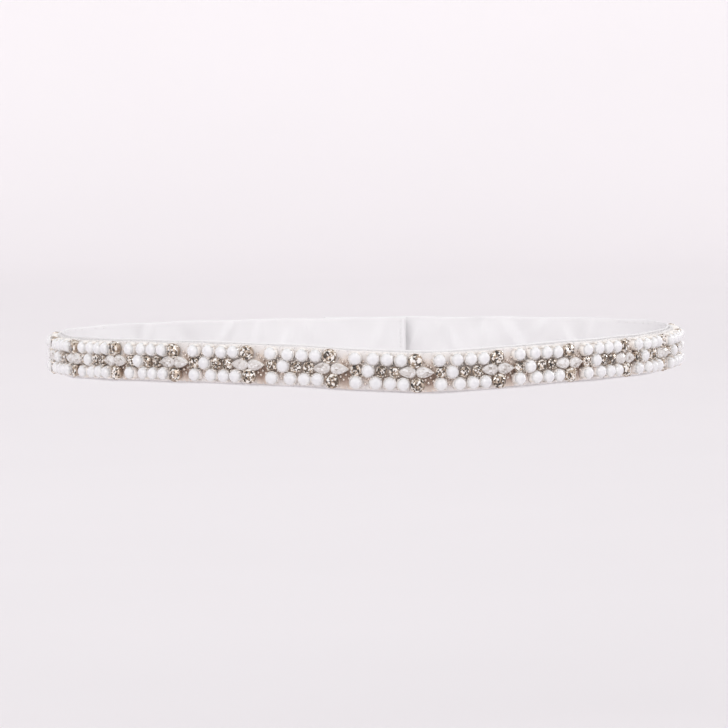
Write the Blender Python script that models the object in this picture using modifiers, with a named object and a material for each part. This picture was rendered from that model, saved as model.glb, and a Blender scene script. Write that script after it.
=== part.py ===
# Bridal sash: a satin ribbon worn round the waist and hooked at the back, with a beaded trim sewn to its
# front and sides. Metres, +Z up. The front faces -Y, and the origin is the middle of the waist.

import math

import bmesh
import bpy
import numpy as np
from mathutils import Vector
from mathutils.geometry import delaunay_2d_cdt

MM = 0.001

# The waist's section, to the ribbon's outer face: half an ellipse in front, and a squarer half behind.
HALF_WIDTH = 109 * MM
FRONT_DEPTH = 110 * MM
BACK_DEPTH = 64 * MM
BACK_SQUARENESS = 2.3

# The worn band isn't quite level. Each row is one rise or dip: its place along the waist from the middle
# of the front, how far it spreads, and how high it lifts the band.
SWAYS = (
    # arc, spread, rise
    (-62 * MM, 64 * MM, 1.9 * MM),
    (21 * MM, 33 * MM, -1.9 * MM),
)

# Ribbon
RIBBON_HEIGHT = 15 * MM
RIBBON_WALL = 1.0 * MM
RIBBON_STEP = 5 * MM
LAP = 30 * MM
LAP_RAMP = 24 * MM
SEAM_GAP = 0.3 * MM

# Hook and bar, bent from the same wire. The bar stands between the hook's shank and its bill.
WIRE_RADIUS = 0.3 * MM
WIRE_GAP = 0.1 * MM
BILL_OUT = SEAM_GAP + WIRE_RADIUS
BAR_OUT = BILL_OUT + 2 * WIRE_RADIUS + WIRE_GAP
SHANK_OUT = BAR_OUT + 2 * WIRE_RADIUS + WIRE_GAP
HOOK_ROOM = SHANK_OUT + WIRE_RADIUS + SEAM_GAP
HOOK_BEND = 11.4 * MM
HOOK_HEEL = 3.4 * MM
BILL_LENGTH = 3.0 * MM
HOOK_HALF_GAP = 0.45 * MM
SEWING_LOOP = 1.1 * MM
BAR_HALF = 2.4 * MM
BAR_RISE = 1.2 * MM

# Beaded trim
REPEAT = 28.6 * MM
REPEATS = 15
FIRST_COLUMN = -7.42 * REPEAT
STRETCHES = ("trim_right_side", "trim_front", "trim_left_side")
BACKING_WALL = 1.0 * MM
BACKING_HALF_HEIGHT = 6.75 * MM
BACKING_STEP = 4.5 * MM
BACKING_MARGIN = 3.5 * MM
CUT_AT = 5.9 * MM
ROW = 4.15 * MM
SIDES = 8

# The stones of one repeat: kind, place along it as a share of the repeat, and which row (1 is the top).
STONES = (
    ("large_rhinestone", 0.000, 1),
    ("opal", 0.291, 1),
    ("opal", 0.502, 1),
    ("opal", 0.669, 1),
    ("opal", 0.827, 1),
    ("drop_forward", 0.105, 0),
    ("small_rhinestone", 0.297, 0),
    ("opal", 0.445, 0),
    ("small_rhinestone", 0.600, 0),
    ("small_rhinestone", 0.752, 0),
    ("drop_backward", 0.914, 0),
    ("large_rhinestone", 0.022, -1),
    ("opal", 0.300, -1),
    ("opal", 0.530, -1),
    ("opal", 0.697, -1),
    ("opal", 0.852, -1),
)
END_COLUMN = ("large_rhinestone",)

# Each kind of stone: its half length and half height, then the share of that and the height above the
# backing at its shoulder and at its crown, and the height of its top.
SHAPES = {
    # half length, half height, shoulder share, shoulder height, crown share, crown height, top height
    "opal": (2.1 * MM, 2.1 * MM, 0.97, 2.2 * MM, 0.66, 3.6 * MM, 4.1 * MM),
    "large_rhinestone": (2.4 * MM, 2.4 * MM, 0.94, 2.3 * MM, 0.56, 3.3 * MM, 3.3 * MM),
    "small_rhinestone": (1.9 * MM, 1.9 * MM, 0.94, 2.1 * MM, 0.56, 3.0 * MM, 3.0 * MM),
    "drop_forward": (2.6 * MM, 2.45 * MM, 0.92, 2.1 * MM, 0.5, 3.3 * MM, 3.4 * MM),
    "drop_backward": (-2.5 * MM, 2.45 * MM, 0.92, 2.1 * MM, 0.5, 3.3 * MM, 3.4 * MM),
}
DROP_TAPER = 0.9


def waist_curve():
    # Points round the waist and their distance along it from the middle of the front, towards +X.
    turn = np.linspace(-math.pi, math.pi, 2881)
    side, ahead = np.sin(turn), np.cos(turn)
    power = 2 / BACK_SQUARENESS
    in_front = ahead >= 0
    x = HALF_WIDTH * np.where(in_front, side, np.sign(side) * np.abs(side) ** power)
    y = np.where(in_front, -FRONT_DEPTH * ahead, BACK_DEPTH * np.abs(ahead) ** power)
    y += (FRONT_DEPTH - BACK_DEPTH) / 2
    steps = np.hypot(np.diff(x), np.diff(y))
    arc = np.concatenate([[0], np.cumsum(steps)])
    return arc - np.interp(0, turn, arc), x, y


ARC, CURVE_X, CURVE_Y = waist_curve()
WAIST = ARC[-1] - ARC[0]


def round_the_waist(arc):
    # The point of the curve at this distance along it. Past the middle of the back it starts again.
    inside = (arc - ARC[0]) % WAIST + ARC[0]
    return np.array([np.interp(inside, ARC, CURVE_X), np.interp(inside, ARC, CURVE_Y)])


def sway(arc):
    return sum(rise * math.exp(-(((arc - place) / spread) ** 2)) for place, spread, rise in SWAYS)


def on_band(arc, up, out):
    # A point of the worn band: its place along the waist, its height on the band, and how far it stands
    # out from the ribbon's outer face.
    near = 0.5 * MM
    along = round_the_waist(arc + near) - round_the_waist(arc - near)
    along /= np.linalg.norm(along)
    x, y = round_the_waist(arc) + out * np.array([along[1], -along[0]])
    return Vector((x, y, up + sway(arc)))


def material(name, colour, roughness, metallic=0.0):
    made = bpy.data.materials.new(name)
    made.use_nodes = True
    shader = made.node_tree.nodes["Principled BSDF"]
    shader.inputs["Base Color"].default_value = (*colour, 1)
    shader.inputs["Roughness"].default_value = roughness
    shader.inputs["Metallic"].default_value = metallic
    return made


def add_object(name, data, finish, collection):
    obj = bpy.data.objects.new(name, data)
    obj.data.materials.append(finish)
    collection.objects.link(obj)
    return obj


def smooth_step(share):
    share = min(max(share, 0.0), 1.0)
    return share * share * (3 - 2 * share)


def lap_lift(arc):
    # The upper end of the ribbon climbs clear of the under end before it passes over it.
    start = WAIST / 2 - LAP / 2 - LAP_RAMP
    return (RIBBON_WALL + HOOK_ROOM) * smooth_step((arc - start) / LAP_RAMP)


def build_ribbon(collection, finish):
    # One length of ribbon from its under end, round the front, to its upper end.
    start, end = -WAIST / 2 - LAP / 2, WAIST / 2 + LAP / 2
    count = math.ceil((end - start) / RIBBON_STEP)
    mesh = bmesh.new()
    columns = []
    for arc in np.linspace(start, end, count + 1):
        middle = lap_lift(arc) - RIBBON_WALL / 2
        edges = (-RIBBON_HEIGHT / 2, RIBBON_HEIGHT / 2)
        columns.append([mesh.verts.new(on_band(arc, up, middle)) for up in edges])
    for left, right in zip(columns, columns[1:]):
        mesh.faces.new((left[0], right[0], right[1], left[1]))
    data = bpy.data.meshes.new("waist_ribbon")
    mesh.to_mesh(data)
    mesh.free()
    data.shade_smooth()
    ribbon = add_object("waist_ribbon", data, finish, collection)
    wall = ribbon.modifiers.new("wall", "SOLIDIFY")
    wall.thickness = RIBBON_WALL
    wall.offset = 0
    wall.use_even_offset = True


def stone_outline(kind, share=1.0):
    # The stone's plan round its own centre. A drop narrows from its round end to its point.
    half_length, half_height = SHAPES[kind][:2]
    points = []
    for step in range(SIDES):
        turn = 2 * math.pi * step / SIDES
        taper = math.sin(turn / 2) ** DROP_TAPER if kind.startswith("drop") else 1.0
        points.append((share * half_length * math.cos(turn), share * half_height * math.sin(turn) * taper))
    return points if half_length > 0 else points[::-1]


def stones_between(first, last):
    # Every stone of the repeats from first up to last, with the pair that ends the trim after the last one.
    placed = []
    for repeat in range(first, last + 1):
        for kind, share, row in STONES:
            ends_trim = repeat == REPEATS and kind in END_COLUMN
            if repeat < last or ends_trim:
                placed.append((kind, FIRST_COLUMN + (repeat + share) * REPEAT, row * ROW))
    return placed


def build_stretch(name, first, last, collection, finish):
    # A length of the trim: a backing whose outer points are raised into the stones, over a plain inside.
    left = FIRST_COLUMN + first * REPEAT + (CUT_AT + SEAM_GAP / 2 if first else -BACKING_MARGIN)
    right = FIRST_COLUMN + last * REPEAT + (CUT_AT - SEAM_GAP / 2 if last < REPEATS else BACKING_MARGIN)
    columns = np.linspace(left, right, math.ceil((right - left) / BACKING_STEP) + 1)
    count = len(columns)
    plan = [(arc, -BACKING_HALF_HEIGHT) for arc in columns]
    plan += [(arc, BACKING_HALF_HEIGHT) for arc in columns[::-1]]
    rise = [0.0] * len(plan)
    lines = [(i, (i + 1) % len(plan)) for i in range(len(plan))]
    moved = list(plan)
    for kind, arc, up in stones_between(max(first - 1, 0), min(last + 1, REPEATS)):
        if not left < arc < right:
            continue
        shoulder_share, shoulder, crown_share, crown, top = SHAPES[kind][2:]
        rings = ((1.0, 1.0, 0.0), (0.7, shoulder_share, shoulder), (0.4, crown_share, crown))
        for plan_share, true_share, height in rings:
            start = len(plan)
            plan += [(arc + a, up + u) for a, u in stone_outline(kind, plan_share)]
            moved += [(arc + a, up + u) for a, u in stone_outline(kind, true_share)]
            rise += [height] * SIDES
            lines += [(start + i, start + (i + 1) % SIDES) for i in range(SIDES)]
        plan.append((arc, up))
        moved.append((arc, up))
        rise.append(top)
    flat = [Vector(point) / MM for point in plan]
    _, _, faces, origins, _, _ = delaunay_2d_cdt(flat, lines, [], 0, 1e-4, True)
    inner = SEAM_GAP
    outer = SEAM_GAP + BACKING_WALL
    mesh = bmesh.new()
    front = [mesh.verts.new(on_band(*moved[made[0]], outer + rise[made[0]])) for made in origins]
    for face in faces:
        mesh.faces.new([front[i] for i in face])
    by_plan = {made[0]: vert for made, vert in zip(origins, front)}
    rim = [by_plan[i] for i in range(2 * count)]
    back = [mesh.verts.new(on_band(*plan[i], inner)) for i in range(2 * count)]
    for i in range(2 * count):
        after = (i + 1) % (2 * count)
        mesh.faces.new((rim[after], rim[i], back[i], back[after]))
    for i in range(count - 1):
        mesh.faces.new((back[i], back[2 * count - 1 - i], back[2 * count - 2 - i], back[i + 1]))
    data = bpy.data.meshes.new(name)
    mesh.to_mesh(data)
    mesh.free()
    data.shade_smooth()
    data.set_sharp_from_angle(angle=math.radians(50))
    add_object(name, data, finish, collection)


def wire(name, points, collection, finish):
    # A bent wire through points given as place past the middle of the back, height, and distance out.
    curve = bpy.data.curves.new(name, "CURVE")
    curve.dimensions = "3D"
    curve.bevel_depth = WIRE_RADIUS
    curve.bevel_resolution = 2
    curve.use_fill_caps = True
    line = curve.splines.new("POLY")
    line.points.add(len(points) - 1)
    for target, (past, up, out) in zip(line.points, points):
        target.co = (*on_band(WAIST / 2 + past, up, out), 1)
    add_object(name, curve, finish, collection)


def sewing_loop(past, up, out, side, start, sweep, steps=9):
    # An open ring of wire that thread goes through, from the angle start and turning by sweep.
    angles = [math.radians(start + sweep * i / steps) for i in range(steps + 1)]
    return [(past + SEWING_LOOP * math.cos(a), up + side * SEWING_LOOP * math.sin(a), out) for a in angles]


def build_hook(collection, finish):
    bend_radius = (SHANK_OUT - BILL_OUT) / 2
    half = [
        (HOOK_BEND - BILL_LENGTH, HOOK_HALF_GAP, BILL_OUT),
        (HOOK_BEND - BILL_LENGTH / 2, HOOK_HALF_GAP, BILL_OUT),
    ]
    for step in range(7):
        turn = math.pi * step / 6
        past = HOOK_BEND + bend_radius * math.sin(turn)
        half.append((past, HOOK_HALF_GAP, BAR_OUT - bend_radius * math.cos(turn)))
    half.append((HOOK_HEEL + SEWING_LOOP, HOOK_HALF_GAP, SHANK_OUT))
    loop_centre = (HOOK_HEEL - SEWING_LOOP, HOOK_HALF_GAP + SEWING_LOOP, SHANK_OUT)
    half += sewing_loop(*loop_centre, -1, 60, -290)
    tip = (HOOK_BEND - BILL_LENGTH - HOOK_HALF_GAP, 0.0, BILL_OUT)
    other = [(past, -up, out) for past, up, out in half]
    wire("hook", other[::-1] + [tip] + half, collection, finish)


def build_bar(collection, finish):
    past = HOOK_BEND - WIRE_GAP
    half = [(past, 0.0, BAR_OUT), (past, BAR_HALF - BAR_RISE, BAR_OUT), (past, BAR_HALF, BILL_OUT)]
    half += sewing_loop(past - SEWING_LOOP, BAR_HALF + SEWING_LOOP, BILL_OUT, 1, -40, 260)
    other = [(place, -up, out) for place, up, out in half[1:]]
    wire("bar", other[::-1] + half, collection, finish)


def build():
    for obj in list(bpy.data.objects):
        bpy.data.objects.remove(obj, do_unlink=True)
    sash = bpy.data.collections.new("bridal_sash")
    bpy.context.scene.collection.children.link(sash)
    satin = material("white_satin", (0.88, 0.87, 0.87), 0.35)
    beading = material("opal_and_crystal", (0.86, 0.85, 0.88), 0.2)
    nickel = material("nickel_wire", (0.66, 0.65, 0.63), 0.3, 1.0)
    build_ribbon(sash, satin)
    per_stretch = REPEATS // len(STRETCHES)
    for number, name in enumerate(STRETCHES):
        build_stretch(name, number * per_stretch, (number + 1) * per_stretch, sash, beading)
    build_hook(sash, nickel)
    build_bar(sash, nickel)


build()
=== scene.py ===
import math
import bpy
import numpy as np
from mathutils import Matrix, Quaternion, Vector


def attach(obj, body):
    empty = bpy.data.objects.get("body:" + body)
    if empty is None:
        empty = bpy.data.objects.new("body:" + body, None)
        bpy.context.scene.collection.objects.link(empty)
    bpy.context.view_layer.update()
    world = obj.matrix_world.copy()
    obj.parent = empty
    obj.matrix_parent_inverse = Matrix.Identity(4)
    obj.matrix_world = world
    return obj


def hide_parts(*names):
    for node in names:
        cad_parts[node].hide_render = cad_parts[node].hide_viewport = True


# Bridal sash, worn as a ring: a satin ribbon with opal beads, rhinestones and clear drops sewn round its
# front, hooked at the back. Metres, front towards -Y. Places on the band are (arc, up, out): how far round
# from the middle of the front, how high on the band, and how far out from the ribbon's outer side.

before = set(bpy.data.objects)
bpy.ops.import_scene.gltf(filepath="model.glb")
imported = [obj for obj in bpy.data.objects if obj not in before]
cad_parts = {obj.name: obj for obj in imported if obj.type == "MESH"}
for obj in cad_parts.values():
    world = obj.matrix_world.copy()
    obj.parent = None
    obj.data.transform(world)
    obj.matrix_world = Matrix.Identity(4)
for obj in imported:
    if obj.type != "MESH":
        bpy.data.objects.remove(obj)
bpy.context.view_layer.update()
mm = 0.001
draws = np.random.default_rng(11)
print("frame loaded:", ", ".join(sorted(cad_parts)))


# The ring that the band follows

waist = {
    "halfWidth": 109 * mm,
    "frontDepth": 110 * mm,
    "backDepth": 64 * mm,
    "backSquareness": 2.3,
    "sways": ((-62 * mm, 64 * mm, 1.9 * mm), (21 * mm, 33 * mm, -1.9 * mm)),  # place, spread, rise
    "samples": 2881,
}


def waistCurve():
    turn = np.linspace(-math.pi, math.pi, waist["samples"])
    side, ahead = np.sin(turn), np.cos(turn)
    power = 2 / waist["backSquareness"]
    inFront = ahead >= 0
    x = waist["halfWidth"] * np.where(inFront, side, np.sign(side) * np.abs(side) ** power)
    y = np.where(inFront, -waist["frontDepth"] * ahead, waist["backDepth"] * np.abs(ahead) ** power)
    y = y + (waist["frontDepth"] - waist["backDepth"]) / 2
    arc = np.concatenate([[0], np.cumsum(np.hypot(np.diff(x), np.diff(y)))])
    return arc - np.interp(0, turn, arc), x, y


curveArc, curveX, curveY = waistCurve()
waistLength = curveArc[-1] - curveArc[0]


def roundWaist(arc):
    inside = (arc - curveArc[0]) % waistLength + curveArc[0]
    return np.interp(inside, curveArc, curveX), np.interp(inside, curveArc, curveY)


def heading(arc):
    # unit direction along the band, from a point a little before to one a little after
    near = 0.5 * mm
    x0, y0 = roundWaist(arc - near)
    x1, y1 = roundWaist(arc + near)
    size = np.hypot(x1 - x0, y1 - y0)
    return (x1 - x0) / size, (y1 - y0) / size


def sway(arc):
    return sum(rise * np.exp(-(((arc - place) / spread) ** 2)) for place, spread, rise in waist["sways"])


def onBand(arc, up, out):
    arc, up, out = np.broadcast_arrays(*(np.asarray(v, float) for v in (arc, up, out)))
    x, y = roundWaist(arc)
    alongX, alongY = heading(arc)
    return np.stack([x + out * alongY, y - out * alongX, up + sway(arc)], -1)


def smoothStep(share):
    share = np.clip(share, 0, 1)
    return share * share * (3 - 2 * share)


# Meshes and finishes

def addToScene(name, data):
    obj = bpy.data.objects.new(name, data)
    bpy.context.scene.collection.objects.link(obj)
    return obj


def meshObject(name, points, faces, finish, smooth=True, marks=None, faceMarks=None):
    data = bpy.data.meshes.new(name)
    data.from_pydata(np.asarray(points).reshape(-1, 3).tolist(), [], faces)
    data.update()
    for domain, named in (("POINT", marks), ("FACE", faceMarks)):
        for key, values in (named or {}).items():
            layer = data.attributes.new(key, "FLOAT", domain)
            layer.data.foreach_set("value", np.ravel(values).astype(np.float32))
    if smooth:
        data.shade_smooth()
    data.materials.append(finish)
    obj = addToScene(name, data)
    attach(obj, "root")
    return obj


def tubeFaces(start, steps, ring, mirrored=False, capped=True):
    # quads between the rings of points along a tube, and a face over each of its ends
    faces = []
    for step in range(steps):
        a, b = start + step * ring, start + (step + 1) * ring
        for i in range(ring):
            j = (i + 1) % ring
            faces.append((a + i, b + i, b + j, a + j) if mirrored else (a + i, a + j, b + j, b + i))
    if capped:
        end = start + steps * ring
        first, last = range(start, start + ring), range(end, end + ring)
        faces.append(tuple(first) if mirrored else tuple(reversed(first)))
        faces.append(tuple(reversed(last)) if mirrored else tuple(last))
    return faces


def newFinish(name, colour, roughness, metallic=0.0, **more):
    finish = bpy.data.materials.new(name)
    finish.use_nodes = True
    shader = finish.node_tree.nodes["Principled BSDF"]
    shader.inputs["Base Color"].default_value = (*colour, 1)
    shader.inputs["Roughness"].default_value = roughness
    shader.inputs["Metallic"].default_value = metallic
    for key, value in more.items():
        shader.inputs[key.replace("_", " ")].default_value = value
    return finish, shader


def addNode(finish, kind, inputs=(), **settings):
    # inputs: {socket: value, or an output socket to link}
    node = finish.node_tree.nodes.new(kind)
    for key, value in settings.items():
        setattr(node, key, value)
    for key, value in dict(inputs).items():
        if isinstance(value, bpy.types.NodeSocket):
            finish.node_tree.links.new(value, node.inputs[key])
        else:
            node.inputs[key].default_value = value
    return node


def ramp(finish, factor, *stops):
    # stops: (place, (r, g, b)) from low to high
    node = addNode(finish, "ShaderNodeValToRGB", {"Fac": factor})
    elements = node.color_ramp.elements
    while len(elements) < len(stops):
        elements.new(0.5)
    for element, (place, colour) in zip(elements, stops):
        element.position = place
        element.color = (*colour, 1)
    return node.outputs["Color"]


def mark(finish, name):
    return addNode(finish, "ShaderNodeAttribute", attribute_name=name).outputs["Fac"]


def bump(finish, shader, height, strength, distance, under=None):
    inputs = {"Height": height, "Strength": strength, "Distance": distance}
    if under:
        inputs["Normal"] = under
    normal = addNode(finish, "ShaderNodeBump", inputs).outputs["Normal"]
    finish.node_tree.links.new(normal, shader.inputs["Normal"])
    return normal


def link(finish, output, socket):
    finish.node_tree.links.new(output, socket)


def objectNoise(finish, scale, detail=2.0, roughness=0.5):
    place = addNode(finish, "ShaderNodeTexCoord").outputs["Object"]
    inputs = {"Vector": place, "Scale": scale, "Detail": detail, "Roughness": roughness}
    return addNode(finish, "ShaderNodeTexNoise", inputs).outputs["Fac"]


def maths(finish, operation, first, second=0.0):
    return addNode(finish, "ShaderNodeMath", {0: first, 1: second}, operation=operation).outputs["Value"]


def centred(finish, value, amount):
    # a value from 0 to 1, moved to either side of zero
    return maths(finish, "MULTIPLY", maths(finish, "SUBTRACT", value, 0.5), amount)


def sineOf(finish, value, pitch):
    return maths(finish, "SINE", maths(finish, "MULTIPLY", value, 2 * math.pi / pitch))


def mixColours(finish, factor, first, second, blend="MIX"):
    inputs = {"Factor": factor, "A": first, "B": second}
    mixed = addNode(finish, "ShaderNodeMix", inputs, data_type="RGBA", blend_type=blend)
    return mixed.outputs["Result"]


def paint(finish, shader, colour):
    link(finish, colour, shader.inputs["Base Color"])


def varyRoughness(finish, shader, value, low, high):
    spread = addNode(finish, "ShaderNodeMapRange", {"Value": value, "To Min": low, "To Max": high})
    link(finish, spread.outputs["Result"], shader.inputs["Roughness"])


def shaded(colour, share):
    return tuple(share * channel for channel in colour)


# Satin ribbon

ribbon = {
    "height": 15 * mm,
    "wall": 0.5 * mm,
    "middle": -0.5 * mm,  # its wall's middle, in from the outer side
    "selvedge": 0.34 * mm,  # half thickness of the woven edge
    "selvedgeFrom": 0.93,  # where it starts, and where painted light is laid on it, as a share of the half height
    "stations": (1, 0.992, 0.965, 0.935, 0.8, 0.6, 0.38, 0.15),  # heights of its points, as such shares
    "step": 1.2 * mm,
    "lap": 30 * mm,
    "lapRamp": 24 * mm,
    "lapLift": 3.6 * mm,
    "hem": 2.4 * mm,  # turned under at each end
    "hemRamp": 0.3 * mm,
    "hemThick": 0.9,  # over the wall
    "puckerEvery": 7.5 * mm,
    "puckerDepth": 0.17 * mm,
    "puckerWidths": (1.2, 3.0),  # mm
    "waver": 0.12 * mm,  # of the edges, up and down
    "waverPitch": 5.1 * mm,
    # painted light: the woven edges lighter than the plain ribbon, against the shade along them
    "edge": (0.89, 0.878, 0.88),
    "colour": (0.825, 0.815, 0.82),
    "plainShade": 0.25,  # where the plain colour stands between the painted edge light's and the painted crease shade's
    "paintedCreaseShade": (0.62, 0.60, 0.61),  # painted shade, in the deepest creases
    "paintedCreaseDepth": 1.6 * mm,
    "warpPitch": 0.22 * mm,
    "weftPitch": 0.5 * mm,
    "roughness": (0.24, 0.4),
}
ribbonStart = -waistLength / 2 - ribbon["lap"] / 2
ribbonEnd = -ribbonStart
# soft creases across the plain back of the ribbon and at the sides, in mm but for the slant in radians:
# place, height, slant, reach, width, depth
creases = (
    (-274, 1.2, 0.15, 6.0, 1.4, 0.8), (-262, 2.5, 0.5, 5.5, 1.5, 1.15), (-247, -2.0, -0.7, 6.5, 1.9, 0.95),
    (-231, 3.0, 0.3, 4.5, 1.3, 0.9), (-224, -3.0, 0.9, 4.0, 1.2, 0.45), (229, 1.8, 0.25, 6.2, 1.5, 0.85),
    (237, -2.2, -0.5, 5.2, 1.7, 1.1), (249, 2.8, 0.8, 5.4, 1.4, 0.8), (258, -1.0, -0.6, 7.0, 2.1, 1.2),
    (270, 2.2, 0.2, 4.6, 1.2, 0.7), (281, -2.4, -0.35, 5.6, 1.6, 0.9), (287, 3.4, 0.6, 3.8, 1.1, 0.6),
    (-284, -2.0, 0.4, 5.2, 1.5, 0.95), (-293, 2.6, -0.3, 4.4, 1.3, 0.8), (-319, 0.5, 0.25, 5.2, 1.7, 0.6),
    (296, -1.5, 0.45, 5.8, 1.7, 0.8), (303, 3.2, -0.4, 4.2, 1.3, 0.6), (310, -4.6, 0.7, 3.6, 1.1, 0.45),
    (319, 5.4, -0.9, 2.6, 1.0, 0.3),
)
# the plain back isn't drawn tight: broad, shallow, uneven rises and hollows, in mm
ripples = {
    "start": -288,
    "end": 289,
    "every": 5.5,
    "shift": 2.5,
    "height": 7,
    "widths": (2.6, 6.5),
    "talls": (3, 7.5),
    "slant": 0.5,  # a share, not mm
    "rise": 0.55,
    "trimEnd": 219,  # from here on the ribbon is plain
    "fadeIn": 7,
    "fadeOut": 6,
}


def lapLift(arc):
    start = waistLength / 2 - ribbon["lap"] / 2 - ribbon["lapRamp"]
    return ribbon["lapLift"] * smoothStep((arc - start) / ribbon["lapRamp"])


def edgePuckers(arc, seed):
    # the sewing draws each edge of the ribbon into short uneven troughs
    own = np.random.default_rng(seed)
    count = int((ribbonEnd - ribbonStart) / ribbon["puckerEvery"])
    places = ribbonStart + (np.arange(count) + own.uniform(0.1, 0.9, count)) * ribbon["puckerEvery"]
    depths = ribbon["puckerDepth"] * own.uniform(-0.5, 1.0, count)
    widths = own.uniform(*ribbon["puckerWidths"], count) * mm
    return (depths * np.exp(-(((arc[:, None] - places) / widths) ** 2))).sum(1)


def softRipples(arcs, ups):
    own = np.random.default_rng(23)
    total = np.zeros((len(arcs), len(ups)))
    for place in np.arange(ripples["start"], ripples["end"], ripples["every"]) * mm:
        place += own.uniform(-ripples["shift"], ripples["shift"]) * mm
        height = own.uniform(-ripples["height"], ripples["height"]) * mm
        wide = own.uniform(*ripples["widths"]) * mm
        tall = own.uniform(*ripples["talls"]) * mm
        rise = ripples["rise"] * mm * own.uniform(-1, 1)
        slant = own.uniform(-ripples["slant"], ripples["slant"])
        across = (arcs[:, None] - place) / wide + slant * ups[None, :] / tall
        total += rise * np.exp(-(across ** 2) - ((ups[None, :] - height) / tall) ** 2)
    away = np.abs(arcs)
    plain = smoothStep((away - ripples["trimEnd"] * mm - 1 * mm) / (ripples["fadeIn"] * mm))
    return total * (plain * smoothStep((ripples["end"] * mm - away) / (ripples["fadeOut"] * mm)))[:, None]


def satinFinish():
    finish, shader = newFinish(
        "whiteSatin", ribbon["colour"], 0.3, Anisotropic=0.6, Sheen_Weight=0.2, Sheen_Roughness=0.4,
        Specular_IOR_Level=0.8
    )
    along, up = mark(finish, "along"), mark(finish, "up")
    warp, weft = sineOf(finish, up, ribbon["warpPitch"]), sineOf(finish, along, ribbon["weftPitch"])
    weave = maths(finish, "MULTIPLY_ADD", weft, 0.35)
    link(finish, warp, weave.node.inputs[2])
    slubs = objectNoise(finish, 900.0, 3.0)
    cloud = centred(finish, objectNoise(finish, 60.0, 2.0), 0.3)
    shade = maths(finish, "ADD", mark(finish, "shade"), cloud)
    plain = (ribbon["plainShade"], ribbon["colour"])
    # painted light on the woven edges, painted shade in the creases
    paint(finish, shader, ramp(finish, shade, (0.0, ribbon["edge"]), plain, (1.0, ribbon["paintedCreaseShade"])))
    varyRoughness(finish, shader, slubs, *ribbon["roughness"])
    fine = bump(finish, shader, slubs, 0.16, 0.05 * mm)
    bump(finish, shader, weave, 0.32, 0.03 * mm, fine)
    return finish


def satinRibbon():
    half, plain = ribbon["height"] / 2, ribbon["plainShade"]
    shares = np.array(ribbon["stations"])
    stations = np.concatenate([shares, -shares[::-1]]) * -half
    body, edge = ribbon["wall"] / 2, ribbon["selvedge"]
    thick = np.array([0, 0.62 * edge, edge, body, *[body] * 8, body, edge, 0.62 * edge, 0])
    # round the ribbon's section: up its outer side and down its inner one
    ups = np.concatenate([stations, stations[-2:0:-1]])
    side = np.concatenate([thick, -thick[-2:0:-1]])
    count = int((ribbonEnd - ribbonStart) / ribbon["step"])
    arcs = np.linspace(ribbonStart, ribbonEnd, count + 1)
    topPull, lowPull = edgePuckers(arcs, 21), edgePuckers(arcs, 22)
    high = np.clip(ups / half, 0, 1) ** 3
    low = np.clip(-ups / half, 0, 1) ** 3
    swell = topPull[:, None] * high + lowPull[:, None] * low
    for place, height, slant, reach, width, depth in creases:
        a, u = arcs[:, None] - place * mm, ups[None, :] - height * mm
        across = a * math.cos(slant) + u * math.sin(slant)
        down = -a * math.sin(slant) + u * math.cos(slant)
        swell = swell - depth * mm * np.exp(-((across / (width * mm)) ** 2) - ((down / (reach * mm)) ** 2))
    swell = swell + softRipples(arcs, ups)
    fromEnd = np.minimum(arcs - ribbonStart, ribbonEnd - arcs)
    turned = smoothStep((ribbon["hem"] - fromEnd) / ribbon["hemRamp"])[:, None]
    fold = turned * (side < 0) * ribbon["wall"] * ribbon["hemThick"]
    out = ribbon["middle"] + lapLift(arcs)[:, None] + side - fold + swell
    lift = ribbon["waver"] * np.sin(arcs / ribbon["waverPitch"])[:, None] * (high + low)
    points = onBand(arcs[:, None], ups[None, :] + lift, out)
    ring = len(ups)
    # painted shade, darker in the troughs of the creases; painted light on the woven edges
    paintedCreaseShade = (-swell * np.where(side > 0, 1, -1) / ribbon["paintedCreaseDepth"]).clip(0, 1)
    shade = plain + (1 - plain) * paintedCreaseShade - plain * (np.abs(ups) > ribbon["selvedgeFrom"] * half)
    marks = {"along": np.repeat(arcs, ring), "up": np.tile(ups, count + 1), "shade": shade}
    faces = tubeFaces(0, count, ring, mirrored=True)
    obj = meshObject("satinRibbon", points, faces, satinFinish(), marks=marks)
    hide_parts("waist_ribbon")
    return obj


satin = satinRibbon()
print("satin ribbon:", len(satin.data.polygons), "faces")


# The trim's plan: one repeat of stones, and where each stone sits

trim = {
    "repeat": 28.6 * mm,
    "repeats": 15,
    "firstColumn": -7.42,  # in repeats, from the middle of the front
    "row": 4.15 * mm,
    "margin": 3.5 * mm,
    "halfHeight": 6.75 * mm,
    "inner": 0.02 * mm,
    "outer": 1.3 * mm,
    "shift": 0.07 * mm,  # how unevenly the stones are set
    "mostShift": 1.5,  # times the shift
    "tilt": 2.0,
    "mostTilt": 4,
    "columns": (  # kind, share of the repeat, row
        ("largeStone", 0.000, 1), ("opal", 0.291, 1), ("opal", 0.502, 1), ("opal", 0.669, 1),
        ("opal", 0.827, 1), ("drop", 0.105, 0), ("smallStone", 0.297, 0), ("opal", 0.445, 0), ("smallStone", 0.600, 0),
        ("smallStone", 0.752, 0), ("dropBack", 0.914, 0),
        ("largeStone", 0.022, -1), ("opal", 0.300, -1), ("opal", 0.530, -1), ("opal", 0.697, -1),
        ("opal", 0.852, -1),
    ),
}
trimStart = trim["firstColumn"] * trim["repeat"]
trimEnd = trimStart + trim["repeats"] * trim["repeat"]


def spotsOf(kinds):
    found = []
    for repeat in range(trim["repeats"] + 1):
        for kind, share, row in trim["columns"]:
            if kind in kinds and (repeat < trim["repeats"] or kind == "largeStone"):
                spin = 180.0 if kind == "dropBack" else 0.0
                found.append((trimStart + (repeat + share) * trim["repeat"], row * trim["row"], spin))
    return np.array(found)


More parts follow.
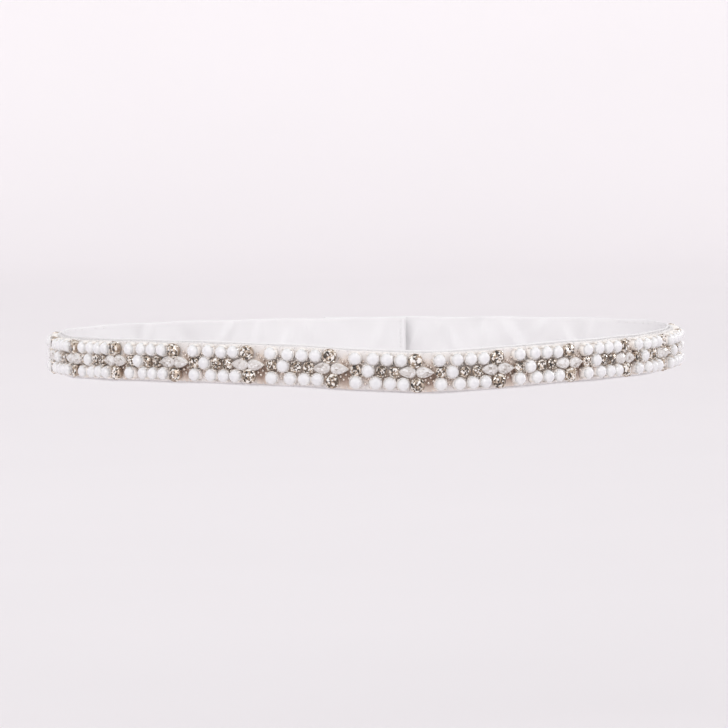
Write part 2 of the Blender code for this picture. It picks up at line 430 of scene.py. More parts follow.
def settle(spots, spinRange):
    # where each stone sits, with the small unevenness of hand setting
    count, farthest, steepest = len(spots), trim["mostShift"] * trim["shift"], trim["mostTilt"]

    def shifted(places):
        return places + draws.normal(0, trim["shift"], count).clip(-farthest, farthest)

    return {
        "arc": shifted(spots[:, 0]),
        "up": shifted(spots[:, 1]),
        "spin": np.radians(spots[:, 2] + draws.uniform(-spinRange, spinRange, count)),
        "lean": np.radians(draws.normal(0, trim["tilt"], (count, 2)).clip(-steepest, steepest)),
    }


def stamp(name, shape, spots, finish, smooth=True, faceMarks=None):
    # one joined mesh of the shape, copied to each spot. Its x runs along the band, y up and z out.
    count = len(spots["arc"])
    alongX, alongY = heading(spots["arc"])
    zero, one = np.zeros(count), np.ones(count)
    directions = ((alongX, alongY, zero), (zero, zero, one), (alongY, -alongX, zero))
    axes = np.stack([np.stack(direction, -1) for direction in directions], 1)
    leanX, leanY = spots["lean"].T
    axes[:, 0] += leanX[:, None] * axes[:, 2]
    axes[:, 1] += leanY[:, None] * axes[:, 2]
    axes[:, 2] = np.cross(axes[:, 0], axes[:, 1])
    axes /= np.linalg.norm(axes, axis=2, keepdims=True)
    cos, sin = np.cos(spots["spin"])[:, None], np.sin(spots["spin"])[:, None]
    local = np.asarray(shape["points"], float)
    turned = np.stack([
        cos * local[:, 0] - sin * local[:, 1], sin * local[:, 0] + cos * local[:, 1],
        np.broadcast_to(local[:, 2], (count, len(local)))
    ], -1)
    base = onBand(spots["arc"], spots["up"], trim["outer"] + spots.get("raise", 0.0))
    points = base[:, None, :] + np.einsum("nvi,nij->nvj", turned, axes)
    size = len(local)
    faces = [tuple(i + k * size for i in face) for k in range(count) for face in shape["faces"]]
    marks = {key: np.tile(values, count) for key, values in shape.get("marks", {}).items()}
    marks["lot"] = np.repeat(draws.uniform(0, 1, count), size)
    return meshObject(name, points, faces, finish, smooth, marks, faceMarks)


# Backing of the trim

backing = {
    # painted shade, from the darkest between the cups to the champagne net's own colour
    "tones": ((0.25, (0.47, 0.35, 0.285)), (0.62, (0.98, 0.88, 0.80)), (0.9, (0.98, 0.955, 0.945))),
    "patchiness": 0.5,
    "shadowAt": -2.2 * mm,  # a little below the middle
    "shadowReach": 8.6 * mm,
    "seedShadeAt": 0.175,  # as a share of the repeat
    "seedShadeReach": 0.19,
    # painted light, lifting the net's colour away from the seed beads
    "lift": 0.5,
    "paleEnds": 6 * mm,
    "step": 1.3 * mm,
    "waver": ((0.1 * mm, 3.7 * mm, 0), (0.07 * mm, 1.9 * mm, 1)),  # of the edges: how far, pitch, start
    "netPitch": 0.55 * mm,
    "netTones": ((0.55, (0.78, 0.74, 0.72)), (0.8, (1, 1, 1))),
    "netStrength": 0.8,
}


def netFinish():
    finish, shader = newFinish("champagneNetPaintedShade", backing["tones"][-1][1], 0.75, Sheen_Weight=0.2)
    along, up = mark(finish, "along"), mark(finish, "up")
    one = sineOf(finish, maths(finish, "ADD", along, up), backing["netPitch"])
    two = sineOf(finish, maths(finish, "SUBTRACT", along, up), backing["netPitch"])
    net = maths(finish, "MAXIMUM", one, two)
    patches = centred(finish, objectNoise(finish, 260.0, 3.0), backing["patchiness"])
    # painted shade from the pale mark, with random patches
    colour = ramp(finish, maths(finish, "ADD", mark(finish, "pale"), patches), *backing["tones"])
    holes = ramp(finish, net, *backing["netTones"])
    paint(finish, shader, mixColours(finish, backing["netStrength"], colour, holes, "MULTIPLY"))
    bump(finish, shader, net, 0.5, 0.08 * mm)
    return finish


def trimBacking():
    half, inner, outer = trim["halfHeight"], trim["inner"], trim["outer"]
    lower = [  # up, out: the inside, a round edge, then the outside up towards the middle
        (-half + 0.5 * mm, inner), (-half + 0.1 * mm, inner + 0.25 * mm), (-half, (inner + outer) / 2),
        (-half + 0.12 * mm, outer - 0.2 * mm), (-half + 0.45 * mm, outer), (-0.7 * half, outer),
        (-0.35 * half, outer)
    ]
    ups, outs = np.array([*lower, (0.0, outer), *((-up, out) for up, out in reversed(lower))]).T
    left, right = trimStart - trim["margin"], trimEnd + trim["margin"]
    count = int((right - left) / backing["step"])
    arcs = np.linspace(left, right, count + 1)
    waver = sum(reach * np.sin(arcs / pitch + start) for reach, pitch, start in backing["waver"])
    points = onBand(arcs[:, None], ups + waver[:, None] * np.abs(ups) / half, outs)
    ring = len(ups)
    nearEnd = smoothStep(1 - np.minimum(arcs - left, right - arcs) / backing["paleEnds"])
    # painted shade, darkest past each pair of large stones, where the seed beads sit
    share = (arcs / trim["repeat"] - trim["firstColumn"]) % 1
    seedShade = smoothStep(1 - np.abs(share - backing["seedShadeAt"]) / backing["seedShadeReach"])
    # painted shade: darkest a little below the middle, lighter towards the edges, towards the trim's ends and away
    # from the seed beads
    pale = np.abs(ups[None, :] - backing["shadowAt"]) / backing["shadowReach"]
    pale = pale + nearEnd[:, None] + backing["lift"] * (1 - seedShade[:, None])
    marks = {"along": np.repeat(arcs, ring), "up": np.tile(ups, count + 1), "pale": pale}
    obj = meshObject("trimBacking", points, tubeFaces(0, count, ring), netFinish(), marks=marks)
    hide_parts("trim_right_side", "trim_front", "trim_left_side")
    return obj


backingPiece = trimBacking()
print("trim backing:", len(backingPiece.data.polygons), "faces")


# Shapes shared by the stones and their cups

def circle(radius):
    return lambda angle: np.array([radius * math.cos(angle), radius * math.sin(angle)])


def dropOutline(halfLength, halfHeight, ahead, taper):
    # round at -x, narrowing to a point at +x
    def outline(angle):
        narrow = abs(math.sin(angle / 2)) ** taper
        return np.array([ahead + halfLength * math.cos(angle), halfHeight * math.sin(angle) * narrow])
    return outline


def inMetres(pairs, sink):
    return [(share, height * sink * mm) for share, height in pairs]


def ringOf(outline, share, height, count, turned):
    angles = [2 * math.pi * (i + 0.5 * turned) / count for i in range(count)]
    return angles, [(*(share * outline(a)), height) for a in angles]


def zipRings(inner, innerStart, outer, outerStart):
    # triangles between two rings of different counts
    faces, i, j = [], 0, 0
    n, m = len(inner), len(outer)
    while i < n or j < m:
        nextInner = inner[(i + 1) % n] + 2 * math.pi * ((i + 1) // n) if i < n else math.inf
        nextOuter = outer[(j + 1) % m] + 2 * math.pi * ((j + 1) // m) if j < m else math.inf
        a, b = innerStart + i % n, outerStart + j % m
        if nextInner <= nextOuter:
            faces.append((a, b, innerStart + (i + 1) % n))
            i += 1
        else:
            faces.append((a, b, outerStart + (j + 1) % m))
            j += 1
    return faces


def beadShape(radius, tall, middle, turns, sides):
    # rings of points down from a bead's top, at these turns from it, with a flat face under the last
    points, faces = [(0.0, 0.0, middle + tall)], []
    for step, turn in enumerate(turns):
        start = len(points)
        reach = radius * math.sin(turn)
        for i in range(sides):
            angle = 2 * math.pi * i / sides
            points.append((reach * math.cos(angle), reach * math.sin(angle), middle + tall * math.cos(turn)))
            j = (i + 1) % sides
            if step == 0:
                faces.append((0, start + i, start + j))
            else:
                faces.append((start - sides + i, start + i, start + j, start - sides + j))
    faces.append(tuple(range(len(points) - 1, len(points) - 1 - sides, -1)))
    return {"points": points, "faces": faces}


def cutStone(outline, stone, sink=1.0):
    # a faceted stone: its top point, then rings of (share, height in mm, count, turned by half a step)
    points, faces = [(0.0, 0.0, stone["top"] * sink * mm)], []
    before = None
    for share, height, count, turned in stone["rings"]:
        angles, ring = ringOf(outline, share, height * sink * mm, count, turned)
        start = len(points)
        points += ring
        if before is None:
            faces += [(0, start + i, start + (i + 1) % count) for i in range(count)]
        else:
            faces += zipRings(before[0], before[1], angles, start)
        before = (angles, start)
    faces.append(tuple(range(len(points) - 1, before[1] - 1, -1)))
    return {"points": points, "faces": faces}


cups = {
    "sides": 20,
    "clawSides": 6,
    "clawTaper": (0.9, 1, 1, 0.95, 0.85, 0.55),  # a claw's thickness at each point of its path, foot to tip
    # wall, claw, roughness, metallic
    "pearl": ((1.0, 0.955, 0.915), (0.93, 0.87, 0.81), 0.36, 0.1),  # round the opals and drops; the wall painted light, paler than the plating, for light in the gaps
    "bright": ((0.56, 0.46, 0.375), (0.95, 0.87, 0.78), 0.2, 0.8),  # round the rhinestones; the wall painted dark, painted shade and dark reflections seen from the side
}


def clawCup(outline, stone, sink=1.0):
    # the stone's cup: a wall with a closed section all round, and claws that bend in over the stone
    points, faces = [], []
    sides, corners, wall = cups["sides"], cups["clawSides"], inMetres(stone["cupWall"], sink)
    width, thick = stone["clawWidth"] * sink, stone["clawThick"]
    for i in range(sides):
        flat = outline(2 * math.pi * i / sides)
        points += [(*(share * flat), height) for share, height in wall]
    ring, wallPoints = len(wall), len(points)
    for i in range(sides):
        a, b = i * ring, (i + 1) % sides * ring
        faces += [(a + k, b + k, b + (k + 1) % ring, a + (k + 1) % ring) for k in range(ring)]
    for angle in stone["claws"]:
        flat = outline(math.radians(angle))
        reach = np.linalg.norm(flat)
        away = np.array([*(flat / reach), 0.0])
        beside = np.array([-away[1], away[0], 0.0])
        line = np.array([(reach * share, height) for share, height in inMetres(stone["clawPath"], sink)])
        slope = np.gradient(line, axis=0)
        slope /= np.linalg.norm(slope, axis=1, keepdims=True)
        faces += tubeFaces(len(points), len(line) - 1, corners)
        for (r, z), (dr, dz), full in zip(line, slope, cups["clawTaper"]):
            for corner in range(corners):
                turn = 2 * math.pi * corner / corners
                flatPart = math.cos(turn) * width / 2 * full
                deep = math.sin(turn) * thick / 2 * full
                place = away * (r + dz * deep) + beside * flatPart
                points.append((place[0], place[1], z - dr * deep))
    claw = np.zeros(len(points))
    claw[wallPoints:] = 1
    return {"points": points, "faces": faces, "marks": {"claw": claw}}


def cupFinish(name, wallColour, clawColour, roughness, metallic):
    # plated cups: the walls carry painted light round the opals and drops and painted shade round the rhinestones, the
    # claws are more worn
    finish, shader = newFinish(name, wallColour, roughness, metallic)
    worn = objectNoise(finish, 620.0, 3.0)
    wall = ramp(finish, worn, (0.32, shaded(wallColour, 0.86)), (0.6, wallColour))
    claws = ramp(finish, worn, (0.36, shaded(clawColour, 0.72)), (0.58, clawColour))
    paint(finish, shader, mixColours(finish, mark(finish, "claw"), wall, claws))
    varyRoughness(finish, shader, worn, roughness - 0.06, roughness + 0.14)
    bump(finish, shader, worn, 0.15, 0.05 * mm)
    return finish


def silverFinish(name, colour, roughness, metallic):
    finish, shader = newFinish(name, colour, roughness, metallic)
    worn = objectNoise(finish, 700.0, 3.0)
    varyRoughness(finish, shader, worn, roughness - 0.08, roughness + 0.14)
    paint(finish, shader, ramp(finish, worn, (0.35, shaded(colour, 0.72)), (0.6, colour)))
    bump(finish, shader, worn, 0.15, 0.05 * mm)
    return finish


pearlCupsPaintedLight = cupFinish("platedCupsPaintedLight", *cups["pearl"])
stoneCupsPaintedShade = cupFinish("stoneCupsPaintedShade", *cups["bright"])


# Opal beads

opal = {
    "radius": 2.2 * mm,
    "middle": 1.95 * mm,
    "cutoff": 128.0,  # degrees from its top, where the cup hides it
    "steps": 12,
    "sides": 28,
    "spin": 6,  # degrees either way
    # cool in the middle, warm at the rim, and lighter at the rim: the warmth is the glass's own, the lightness painted
    # light for light through the rim
    "tones": ((0.15, (0.76, 0.755, 0.775)), (0.62, (0.85, 0.835, 0.85)), (0.97, (1.0, 0.975, 0.96))),
    "cloudiness": 0.35,
    "unlikeness": 0.22,  # from one bead to the next
    "cupWall": ((0.45, 0.05), (1.08, 0.05), (1.07, 0.9), (1.06, 2.1), (0.98, 2.22), (0.5, 0.5)),  # share, mm
    "claws": (45, 135, 225, 315),
    "clawPath": ((0.74, 0.1), (0.98, 0.4), (1.13, 0.95), (1.16, 1.7), (1.12, 2.45), (1.0, 2.95)),  # share, mm
    "clawWidth": 0.7 * mm,
    "clawThick": 0.34 * mm,
}


def opalFinish():
    finish, shader = newFinish(
        "opalGlass", opal["tones"][1][1], 0.16, Subsurface_Weight=0.95, Subsurface_Scale=3.4 * mm,
        Subsurface_Radius=(1.0, 1.0, 1.0), Coat_Weight=0.35, Coat_Roughness=0.05, IOR=1.45
    )
    milk = centred(finish, objectNoise(finish, 330.0), opal["cloudiness"])
    own = centred(finish, mark(finish, "lot"), opal["unlikeness"])
    place = maths(finish, "ADD", maths(finish, "ADD", mark(finish, "rim"), milk), own)
    # painted light at the rim, with the glass's own cool and warm tints
    paint(finish, shader, ramp(finish, place, *opal["tones"]))
    return finish


def opalShape():
    sides, steps = opal["sides"], opal["steps"]
    turns = [math.radians(opal["cutoff"]) * step / steps for step in range(1, steps + 1)]
    shape = beadShape(opal["radius"], opal["radius"], opal["middle"], turns, sides)
    rims = [math.sin(turn) if turn < math.pi / 2 else 1.0 for turn in turns]
    shape["marks"] = {"rim": np.concatenate([[0.0], np.repeat(rims, sides)])}
    return shape


opalSpots = settle(spotsOf(("opal",)), opal["spin"])
opals = stamp("opalBeads", opalShape(), opalSpots, opalFinish())
opalCups = stamp("opalCups", clawCup(circle(opal["radius"]), opal), opalSpots, pearlCupsPaintedLight)
print("opal beads:", len(opalSpots["arc"]))


# Rhinestones, large and small

rhinestone = {
    # radius, its heights over the large one's, shares of facets with dark and with bright painted reflections
    "large": (2.44 * mm, 1.0, (0.38, 0.32)),
    "small": (1.9 * mm, 0.9, (0.45, 0.29)),
    "spin": 14,
    "top": 3.14,  # mm
    "rings": (  # share, height in mm, count, turned
        (0.27, 3.22, 8, 1), (0.55, 3.2, 8, 0), (0.80, 2.9, 8, 1), (0.98, 2.5, 16, 0), (1.0, 2.3, 16, 0),
        (0.9, 1.9, 16, 0),
    ),
    "cupWall": ((0.5, 0.05), (0.72, 0.08), (0.9, 0.8), (1.07, 2.3), (1.03, 2.42), (0.92, 1.8), (0.6, 0.5)),
    "claws": (45, 135, 225, 315),
    "clawPath": ((0.8, 0.4), (0.96, 1.2), (1.08, 2.1), (1.07, 2.75), (0.97, 3.02), (0.86, 3.12)),
    "clawWidth": 0.72 * mm,
    "clawThick": 0.34 * mm,
    # painted reflections: each facet's base colour, black through champagne to white, stands in for what it mirrors
    "tones": ((0.0, (0.02, 0.014, 0.009)), (0.26, (0.125, 0.088, 0.058)), (0.38, (0.39, 0.295, 0.21)),
              (0.58, (0.8, 0.67, 0.545)), (0.8, (0.97, 0.895, 0.80)), (1.0, (1, 0.98, 0.95))),
    "sectors": 12,
}
facets = {  # how a stone's facets fall into patches of one painted reflection, from 0 dark to 1 bright
    "zones": (0.4, 0.8),  # where the next ring of patches starts, as a share of the reach
    "evenness": 0.75,  # below 1, neighbouring patches differ more
    "stray": 0.2,  # of single facets
    "darkTones": 0.3,
    "midTones": 0.55,  # this much above the dark ones
    "brightFrom": 0.88,
}


# the base colour comes from each facet's painted reflection
def paintedReflectionFinish(name, tones, *values, **more):
    finish, shader = newFinish(name, *values, Coat_Weight=1.0, Coat_Roughness=0.02, **more)
    paint(finish, shader, ramp(finish, mark(finish, "paintedReflection"), *tones))
    return finish


def paintedFacetReflections(shape, count, shares, sectors):
    # painted reflections: a few neighbouring facets are painted as mirroring the same thing, dark, mid or bright,
    # mostly unlike the next few
    dark, bright = shares
    inner, outer = facets["zones"]
    evenness, low, brightest = facets["evenness"], facets["darkTones"], facets["brightFrom"]
    points = np.array(shape["points"])
    middles = np.array([points[list(face)].mean(0) for face in shape["faces"]])
    reach = np.hypot(middles[:, 0], middles[:, 1])
    turn = np.arctan2(middles[:, 1], middles[:, 0]) + draws.uniform(0, 2 * math.pi, (count, 1))
    zone = (reach > inner * reach.max()).astype(int) + (reach > outer * reach.max())
    patch = (turn / (2 * math.pi) * sectors).astype(int) % sectors + zone * sectors
    pick = draws.uniform(0, 1, (count, 3 * sectors))
    swap = np.arange(3 * sectors)[None, :] % 2 == draws.integers(0, 2, (count, 1))
    pick = np.where(swap, pick * evenness, 1 - (1 - pick) * evenness)
    pick = np.take_along_axis(pick, patch, 1) + draws.normal(0, facets["stray"], patch.shape)
    pick = pick.clip(0, 1)
    paintedReflection = np.where(pick < dark, pick / dark * low, low + (pick - dark) / (1 - dark) * facets["midTones"])
    return np.where(pick > 1 - bright, brightest + draws.uniform(0, 1 - brightest, patch.shape), paintedReflection)


def roundStones(name, kind, spots):
    radius, sink, shares = rhinestone[kind]
    shape = cutStone(circle(radius), rhinestone, sink)
    tones = paintedFacetReflections(shape, len(spots["arc"]), shares, rhinestone["sectors"])
    stones = stamp(name, shape, spots, foiled, smooth=False, faceMarks={"paintedReflection": tones})
    cup = clawCup(circle(radius), rhinestone, sink)
    return stones, stamp(name + "Cups", cup, spots, stoneCupsPaintedShade)


# foil-backed stones whose facets carry painted reflections
foiled = paintedReflectionFinish("foiledRhinestonePaintedReflections", rhinestone["tones"], (0.5, 0.45, 0.4), 0.1, 0.3)
largeSpots = settle(spotsOf(("largeStone",)), rhinestone["spin"])
smallSpots = settle(spotsOf(("smallStone",)), rhinestone["spin"])
largeStones, largeCups = roundStones("largeRhinestones", "large", largeSpots)
smallStones, smallCups = roundStones("smallRhinestones", "small", smallSpots)
print("rhinestones:", len(largeSpots["arc"]), "large and", len(smallSpots["arc"]), "small")


# Clear drops

drop = {
    "halfLength": 2.95 * mm,
    "halfHeight": 2.35 * mm,
    "ahead": 0.3 * mm,  # its middle, towards its point
    "taper": 0.9,
    "spin": 4,
    "top": 3.32,  # mm
    "rings": ((0.5, 3.26, 8, 0), (0.86, 2.8, 8, 1), (0.99, 2.3, 16, 0), (1.0, 2.1, 16, 0), (0.9, 1.6, 16, 0)),
    "cupWall": ((0.5, 0.05), (0.74, 0.08), (0.92, 0.7), (1.07, 2.1), (1.01, 2.2), (0.9, 1.3), (0.6, 0.5)),
    "claws": (6, 118, 242),
    "clawPath": ((0.8, 0.4), (0.97, 1.0), (1.06, 1.8), (1.05, 2.3), (0.97, 2.62), (0.88, 2.75)),
    "clawWidth": 0.55 * mm,
    "clawThick": 0.3 * mm,
    # painted reflections on the facets, from dark grey to near white
    "tones": ((0.0, (0.43, 0.38, 0.345)), (0.2, (0.62, 0.57, 0.535)), (0.4, (0.74, 0.70, 0.67)),
              (0.8, (0.85, 0.82, 0.80)), (1.0, (0.98, 0.965, 0.96))),
    "shares": (0.3, 0.2),  # of facets with dark and with bright painted reflections
    "sectors": 8,
    "edgeFrom": 24,  # the facets from this one on are the ones round its edge
    "paintedEdgeLight": 0.9,
}


def clearDrops():
    spots = settle(spotsOf(("drop", "dropBack")), drop["spin"])
    outline = dropOutline(drop["halfLength"], drop["halfHeight"], drop["ahead"], drop["taper"])
    shape = cutStone(outline, drop)
    tones = paintedFacetReflections(shape, len(spots["arc"]), drop["shares"], drop["sectors"])
    edge = tones[:, drop["edgeFrom"]:]
    edge[:] = np.maximum(edge, drop["paintedEdgeLight"])  # painted light round its edge
    crystal = paintedReflectionFinish("clearCrystalPaintedReflections", drop["tones"], (0.9, 0.9, 0.9), 0.05, Transmission_Weight=0.1, IOR=1.54)
    stones = stamp("clearDrops", shape, spots, crystal, smooth=False, faceMarks={"paintedReflection": tones})
    return stones, stamp("dropCups", clawCup(outline, drop), spots, pearlCupsPaintedLight)


drops, dropCups = clearDrops()
print("clear drops:", 2 * trim["repeats"])


# Seed beads between the rows

seed = {
    "spots": (  # in each repeat: share of it, height in mm
        (0.117, 3.55), (0.152, 2.45), (0.197, 1.8), (0.212, 3.4), (0.121, -2.55), (0.187, -1.85),
        (0.222, -2.9), (0.158, -3.5), (0.391, 3.1), (0.417, -2.5), (0.37, -1.9), (0.414, -4.4),
        (0.452, -2.75), (0.365, 2.0),
    ),
    "radius": 0.52 * mm,
    "squash": 0.85,
    "rings": 5,
    "sides": 10,
    "spin": 180,
    "mostRaise": 0.5,  # mm
    "colour": (0.84, 0.75, 0.68),
}


def seedBeads():
    turns = [math.pi * ring / (seed["rings"] + 1) for ring in range(1, seed["rings"] + 1)]
    tall = seed["squash"] * seed["radius"]
    shape = beadShape(seed["radius"], tall, tall, turns, seed["sides"])
    found = []
    for repeat in range(trim["repeats"]):
        found += [(trimStart + (repeat + share) * trim["repeat"], up * mm, 0.0) for share, up in seed["spots"]]
    spots = settle(np.array(found), seed["spin"])
    spots["raise"] = draws.uniform(0.0, seed["mostRaise"], len(found)) * mm
    return stamp("seedBeads", shape, spots, silverFinish("silverLinedSeeds", seed["colour"], 0.2, 0.6))


seeds = seedBeads()
print("seed beads:", len(seed["spots"]) * trim["repeats"])


# Sewing

sewing = {
    "thread": 0.1 * mm,  # its radius
    "whipEvery": 2.9 * mm,
    "whipSlant": 0.9 * mm,
    "whipPath": (  # up, out in mm
        (6.1, 1.24), (6.28, 1.37), (6.5, 1.35), (6.74, 1.1), (6.86, 0.62), (6.9, 0.2), (6.94, -0.16)
    ),
    "tackEvery": 4.4 * mm,
    "colour": (0.88, 0.87, 0.87),
}


def threadFinish():
    finish, shader = newFinish("whiteThread", sewing["colour"], 0.5, Sheen_Weight=0.4)
    twist = objectNoise(finish, 5200.0, 1.0)
    paint(finish, shader, ramp(finish, twist, (0.35, (0.7, 0.69, 0.69)), (0.6, sewing["colour"])))
    bump(finish, shader, twist, 0.4, 0.04 * mm)
    return finish


def archPath(start, end, lift):
    shares = np.linspace(0, 1, 7)[:, None]
    path = np.array(start) + (np.array(end) - np.array(start)) * shares
    path[:, 2] += lift * np.sin(math.pi * shares[:, 0]) ** 0.7
    return path


def threads(name, paths, finish):
    # a thread along each path of (arc, up, out)
    flat = np.array(paths)
    line = onBand(flat[..., 0], flat[..., 1], flat[..., 2])
    run = np.gradient(line, axis=1)
    run /= np.linalg.norm(run, axis=2, keepdims=True)
    alongX, alongY = heading(flat[..., 0])
    side = np.stack([alongX, alongY, np.zeros_like(alongX)], -1)
    up = np.zeros_like(side)
    up[..., 2] = 1
    flatRun = np.abs((run * side).sum(-1, keepdims=True)) > 0.75
    beside = np.cross(run, np.where(flatRun, up, side))
    beside /= np.linalg.norm(beside, axis=2, keepdims=True)
    over = np.cross(beside, run)
    sides, steps = 6, flat.shape[1]
    turns = 2 * math.pi * np.arange(sides) / sides
    thin = np.ones(steps) * sewing["thread"]
    thin[[0, -1]] *= 0.6
    points = line[:, :, None, :] + thin[None, :, None, None] * (
        np.cos(turns)[None, None, :, None] * beside[:, :, None, :]
        + np.sin(turns)[None, None, :, None] * over[:, :, None, :]
    )
    faces, size = [], sides * steps
    for k in range(len(flat)):
        base = k * size
        faces += tubeFaces(base, steps - 1, sides)
    obj = meshObject(name, points, faces, finish)
    return obj


def whipStitches(finish):
    # over the backing's edges on the outside, down into the ribbon
    inset = 1 * mm
    start, end = trimStart - trim["margin"] + inset, trimEnd + trim["margin"] - inset
    places = np.arange(start, end, sewing["whipEvery"])
    over = np.array(sewing["whipPath"]) * mm
    paths = []
    for side in (1, -1):
        for place in places + draws.normal(0, 0.3 * mm, len(places)):
            path = np.zeros((len(over), 3))
            slant = sewing["whipSlant"] * draws.uniform(0.6, 1.3)
            path[:, 0] = place + slant * np.linspace(-0.5, 0.5, len(over))
            path[:, 1] = side * over[:, 0]
            path[0, 1] -= side * draws.uniform(0, 0.5) * mm
            path[:, 2] = over[:, 1]
            paths.append(path)
    return threads("whipStitches", paths, finish)


def insideTacks(finish):
    # the same thread shows inside as short uneven dashes
    places = np.arange(trimStart, trimEnd, sewing["tackEvery"])
    paths = []
    for side in (1, -1):
        for place in places + draws.normal(0, 0.5 * mm, len(places)):
            up = side * draws.uniform(6.2, 6.7) * mm
            length = draws.uniform(1.2, 2.4) * mm
            end = (place + length, up + draws.normal(0, 0.15 * mm), -0.66 * mm)
            paths.append(archPath((place, up, -0.66 * mm), end, -0.2 * mm))
    return threads("insideTacks", paths, finish)


def hemStitches(finish):
    # small pricks through the turned ends, on both faces
    paths = []
    half = 0.4 * mm
    for end, inward in ((ribbonStart, 1), (ribbonEnd, -1)):
        middle = ribbon["middle"] + float(lapLift(np.array(end)))
        arc = end + inward * (ribbon["hem"] - 0.4 * mm)
        for row in np.linspace(-6.2, 6.2, 9) * mm:
            for side in (1, -1):
                skin = middle + side * 0.2 * mm - (0.42 * mm if side < 0 else 0)
                paths.append(archPath((arc, row - half, skin), (arc, row + half, skin), side * 0.12 * mm))
    return threads("hemStitches", paths, finish)


white = threadFinish()
whips = whipStitches(white)
tacks = insideTacks(white)
hems = hemStitches(white)
print("sewing: whip stitches, tacks and hems")


# Hook and bar at the back

closing = {
    "wire": 0.3 * mm,
    "bill": 0.6 * mm,  # how far out each wire runs
    "bar": 1.3 * mm,
    "shank": 2.0 * mm,
    "bend": 11.4 * mm,  # past the middle of the back
    "heel": 3.4 * mm,
    "billLength": 3.0 * mm,
    "halfGap": 0.45 * mm,
    "loop": 1.1 * mm,
    "barHalf": 2.4 * mm,
    "barRise": 1.2 * mm,
    "barPast": 11.3 * mm,
}


def nickelWire(name, points, finish, node):
    curve = bpy.data.curves.new(name, "CURVE")
    curve.dimensions = "3D"
    curve.bevel_depth = closing["wire"]
    curve.bevel_resolution = 4
    curve.use_fill_caps = True
    line = curve.splines.new("POLY")
    line.points.add(len(points) - 1)
    for target, (past, up, out) in zip(line.points, points):
        target.co = (*onBand(waistLength / 2 + past, up, out), 1)
    line.use_smooth = True
    curve.materials.append(finish)
    obj = bpy.data.objects.new(name, curve)
    bpy.context.scene.collection.objects.link(obj)
    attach(obj, "root")
    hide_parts(node)
    return obj


def sewingLoop(past, up, out, side, start, sweep, steps=22):
    angles = [math.radians(start + sweep * i / steps) for i in range(steps + 1)]
    reach = closing["loop"]
    return [(past + reach * math.cos(a), up + side * reach * math.sin(a), out) for a in angles]


def hookPoints():
    middle = (closing["shank"] + closing["bill"]) / 2
    bendRadius = (closing["shank"] - closing["bill"]) / 2
    gap = closing["halfGap"]
    half = [(closing["bend"] - closing["billLength"], gap, closing["bill"])]
    for turn in np.linspace(0, math.pi, 15):
        half.append((closing["bend"] + bendRadius * math.sin(turn), gap, middle - bendRadius * math.cos(turn)))
    half.append((closing["heel"] + closing["loop"], gap, closing["shank"]))
    loopCentre = (closing["heel"] - closing["loop"], gap + closing["loop"], closing["shank"])
    half += sewingLoop(*loopCentre, -1, 60, -290)
    tip = [(closing["bend"] - closing["billLength"] - gap * math.sin(a), gap * math.cos(a), closing["bill"])
           for a in np.linspace(0, math.pi, 9)[1:-1]]
    other = [(past, -up, out) for past, up, out in half]
    return half[::-1] + tip + other


def barPoints():
    past = closing["barPast"]
    rise = np.linspace(0, 1, 7)
    half = [(past, 0.0, closing["bar"])]
    for share in rise:
        up = closing["barHalf"] - closing["barRise"] * (1 - share)
        half.append((past, up, closing["bar"] + (closing["bill"] - closing["bar"]) * float(smoothStep(share))))
    loopCentre = (past - closing["loop"], closing["barHalf"] + closing["loop"], closing["bill"])
    half += sewingLoop(*loopCentre, 1, -40, 260)
    other = [(place, -up, out) for place, up, out in half[1:]]
    return other[::-1] + half


def loopThreads(finish):
    # thread over each sewing loop, into the ribbon on both sides of the wire
    loops = (  # past, up, wire, ribbon
        (closing["heel"], closing["halfGap"], closing["shank"], 2.86 * mm),
        (closing["barPast"], closing["barHalf"], closing["bill"], -0.26 * mm),
    )
    for past, up, wire, cloth in loops:
        past, up = past - closing["loop"], up + closing["loop"]
        paths = []
        away = 1 if wire > cloth else -1
        lift = wire - cloth + away * (closing["wire"] + 0.1 * mm)
        for side in (1, -1):
            for angle in np.radians((60, 100, 140, 180, 220)):
                ends = []
                for reach in (0.5 * closing["loop"], 1.5 * closing["loop"]):
                    along = waistLength / 2 + past + reach * math.cos(angle)
                    ends.append((along, side * (up + reach * math.sin(angle)), cloth))
                paths.append(archPath(*ends, lift))
        yield threads("loopThreads" + ("Bar" if away > 0 else "Hook"), paths, finish)


nickel = silverFinish("nickelWire", (0.66, 0.65, 0.63), 0.26, 1.0)
nickelWire("hookWire", hookPoints(), nickel, "hook")
nickelWire("barWire", barPoints(), nickel, "bar")
loopSewing = list(loopThreads(white))
print("hook and bar: two wires and their thread")
# Floor and backdrop in one sweep, light and camera

studio = {
    "floor": -0.16,
    "flatReach": 3.6,  # the floor's flat part, then it curves up all round
    "bend": 0.9,
    "wallTop": 1.3,
    "colour": (0.82, 0.785, 0.80),
    "air": 0.85,
    "suns": (  # name, from, width in degrees, strength
        ("key", (-0.5, -1.35, 0.52), 44.0, 1.12),
        ("fill", (1.2, -1.0, 0.4), 60.0, 0.36),
        ("spark", (1.0, -1.15, 0.45), 3.0, 0.22),
        ("rear", (1.35, 0.6, 0.65), 14.0, 0.6),
    ),
}


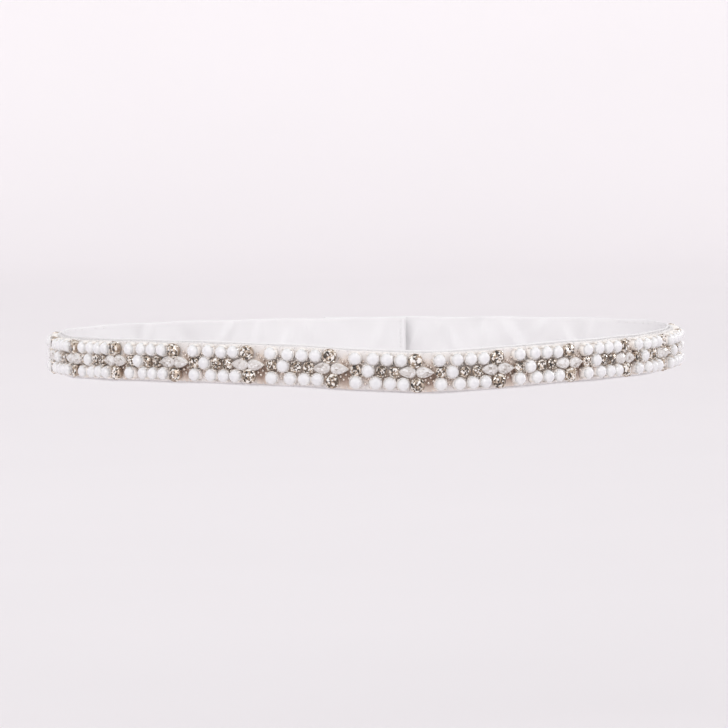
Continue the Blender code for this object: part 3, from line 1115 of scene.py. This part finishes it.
def sweepFloor():
    finish, shader = newFinish("paleSweep", studio["colour"], 0.9)
    grain = objectNoise(finish, 3.0, 2.0)
    pale = studio["colour"]
    paint(finish, shader, ramp(finish, grain, (0.3, shaded(pale, 0.985)), (0.7, pale)))
    line = [(studio["flatReach"] * share, studio["floor"]) for share in (0.2, 0.6, 1.0)]
    for turn in np.linspace(0, math.pi / 2, 20)[1:]:
        line.append((studio["flatReach"] + studio["bend"] * math.sin(turn),
                     studio["floor"] + studio["bend"] * (1 - math.cos(turn))))
    line.append((studio["flatReach"] + studio["bend"], studio["wallTop"]))
    sides = 72
    points = [(0, 0, studio["floor"])]
    angles = [2 * math.pi * i / sides for i in range(sides)]
    for reach, height in line:
        points += [(reach * math.cos(angle), reach * math.sin(angle), height) for angle in angles]
    faces = [(0, 1 + i, 1 + (i + 1) % sides) for i in range(sides)]
    faces += tubeFaces(1, len(line) - 1, sides, mirrored=True, capped=False)
    data = bpy.data.meshes.new("sweep")
    data.from_pydata(points, [], faces)
    data.shade_smooth()
    data.materials.append(finish)
    obj = bpy.data.objects.new("sweep", data)
    bpy.context.scene.collection.objects.link(obj)


def softLights():
    for name, place, width, strength in studio["suns"]:
        lamp = bpy.data.lights.new(name, "SUN")
        lamp.angle = math.radians(width)
        lamp.energy = strength
        obj = bpy.data.objects.new(name, lamp)
        obj.location = place
        obj.rotation_mode = "QUATERNION"
        obj.rotation_quaternion = (-Vector(place)).to_track_quat("-Z", "Y")
        bpy.context.scene.collection.objects.link(obj)
    world = bpy.data.worlds.new("studioAir")
    world.use_nodes = True
    world.node_tree.nodes["Background"].inputs["Color"].default_value = (0.985, 0.985, 1.0, 1)
    world.node_tree.nodes["Background"].inputs["Strength"].default_value = studio["air"]
    bpy.context.scene.world = world
    bpy.context.scene.view_settings.view_transform = "Standard"


camera = {
    "distance": 2.5,
    "elevation": 0.065,  # radians above the band
    "roll": 0.0121,  # the picture's right side is a little high
    "pixelsPerMetre": 2812.0,
    "ringAt": (365.5, 352.7),  # where the middle of the ring falls in the picture
    "picture": 728.0,
}


def photoCamera():
    lens = bpy.data.cameras.new("photoCamera")
    lens.sensor_width = 36.0
    lens.lens = lens.sensor_width * camera["distance"] * camera["pixelsPerMetre"] / camera["picture"]
    lens.dof.use_dof = False
    lens.clip_start, lens.clip_end = 0.05, 40.0
    obj = bpy.data.objects.new("photoCamera", lens)
    bpy.context.scene.collection.objects.link(obj)
    rise = camera["elevation"]
    back = Vector((0, -math.cos(rise), math.sin(rise)))
    turn = Quaternion(back, -camera["roll"]) @ (-back).to_track_quat("-Z", "Y")
    right, above = turn @ Vector((1, 0, 0)), turn @ Vector((0, 1, 0))
    across = (camera["picture"] / 2 - camera["ringAt"][0]) / camera["pixelsPerMetre"]
    down = (camera["ringAt"][1] - camera["picture"] / 2) / camera["pixelsPerMetre"]
    obj.location = back * camera["distance"] + right * across + above * down
    obj.rotation_mode = "QUATERNION"
    obj.rotation_quaternion = turn
    bpy.context.scene.camera = obj


sweepFloor()
softLights()
photoCamera()
print("floor, lights and camera")
